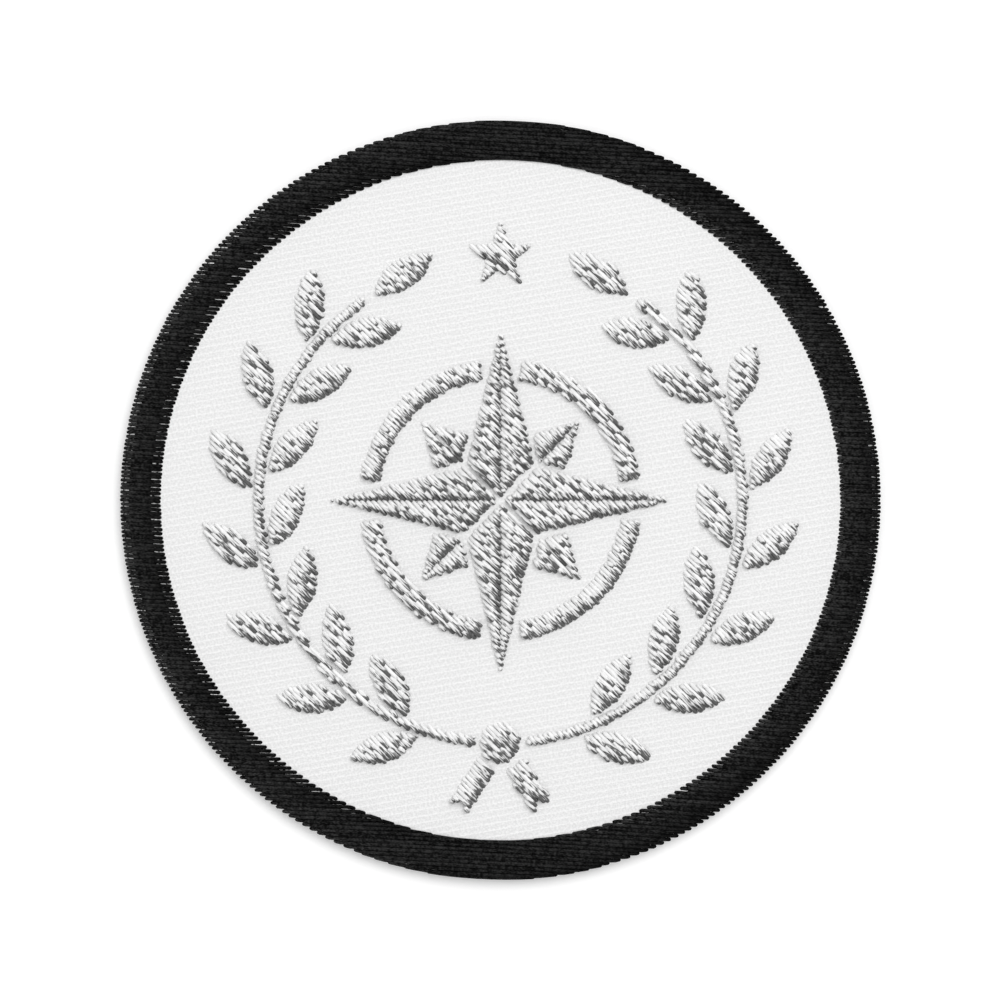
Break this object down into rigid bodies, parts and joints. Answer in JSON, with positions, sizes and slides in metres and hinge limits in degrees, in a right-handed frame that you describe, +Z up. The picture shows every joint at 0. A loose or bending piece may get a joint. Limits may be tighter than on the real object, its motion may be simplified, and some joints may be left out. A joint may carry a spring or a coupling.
{
  "type": "embroidered patch",
  "caption": "Round sew-on cloth patch: white twill disc, black embroidered edge band, and a raised white compass star with a ring inside a laurel wreath.",
  "frame": {"origin": "centre of the patch on its flat back, which is also the middle of its lowest face", "axes": "+Z up out of the embroidered face, +Y to the top of the design, +X to its right"},
  "size_m": [0.0762, 0.0762, 0.002],
  "materials": {
    "twill": "woven polyester twill, matt",
    "edge_thread": "black embroidery thread, soft sheen",
    "motif_thread": "white embroidery thread, soft sheen"
  },
  "bodies": {
    "root": {"twill_base": "twill", "border_band": "edge_thread", "long_point_1": "motif_thread", "long_point_2": "motif_thread", "long_point_3": "motif_thread", "long_point_4": "motif_thread", "short_point_1": "motif_thread", "short_point_2": "motif_thread", "short_point_3": "motif_thread", "short_point_4": "motif_thread", "ring_arc_1": "motif_thread", "ring_arc_2": "motif_thread", "ring_arc_3": "motif_thread", "ring_arc_4": "motif_thread", "stem_right": "motif_thread", "stem_left": "motif_thread", "leaf_right_1": "motif_thread", "leaf_right_2": "motif_thread", "leaf_right_3": "motif_thread", "leaf_right_4": "motif_thread", "leaf_right_5": "motif_thread", "leaf_right_6": "motif_thread", "leaf_right_7": "motif_thread", "leaf_right_8": "motif_thread", "leaf_right_9": "motif_thread", "leaf_right_10": "motif_thread", "leaf_right_11": "motif_thread", "leaf_right_12": "motif_thread", "leaf_right_13": "motif_thread", "leaf_right_14": "motif_thread", "leaf_right_15": "motif_thread", "leaf_left_1": "motif_thread", "leaf_left_2": "motif_thread", "leaf_left_3": "motif_thread", "leaf_left_4": "motif_thread", "leaf_left_5": "motif_thread", "leaf_left_6": "motif_thread", "leaf_left_7": "motif_thread", "leaf_left_8": "motif_thread", "leaf_left_9": "motif_thread", "leaf_left_10": "motif_thread", "leaf_left_11": "motif_thread", "leaf_left_12": "motif_thread", "leaf_left_13": "motif_thread", "leaf_left_14": "motif_thread", "leaf_left_15": "motif_thread", "top_star": "motif_thread", "ribbon_knot": "motif_thread", "ribbon_tail_right": "motif_thread", "ribbon_tail_left": "motif_thread"}
  },
  "joints": []
}
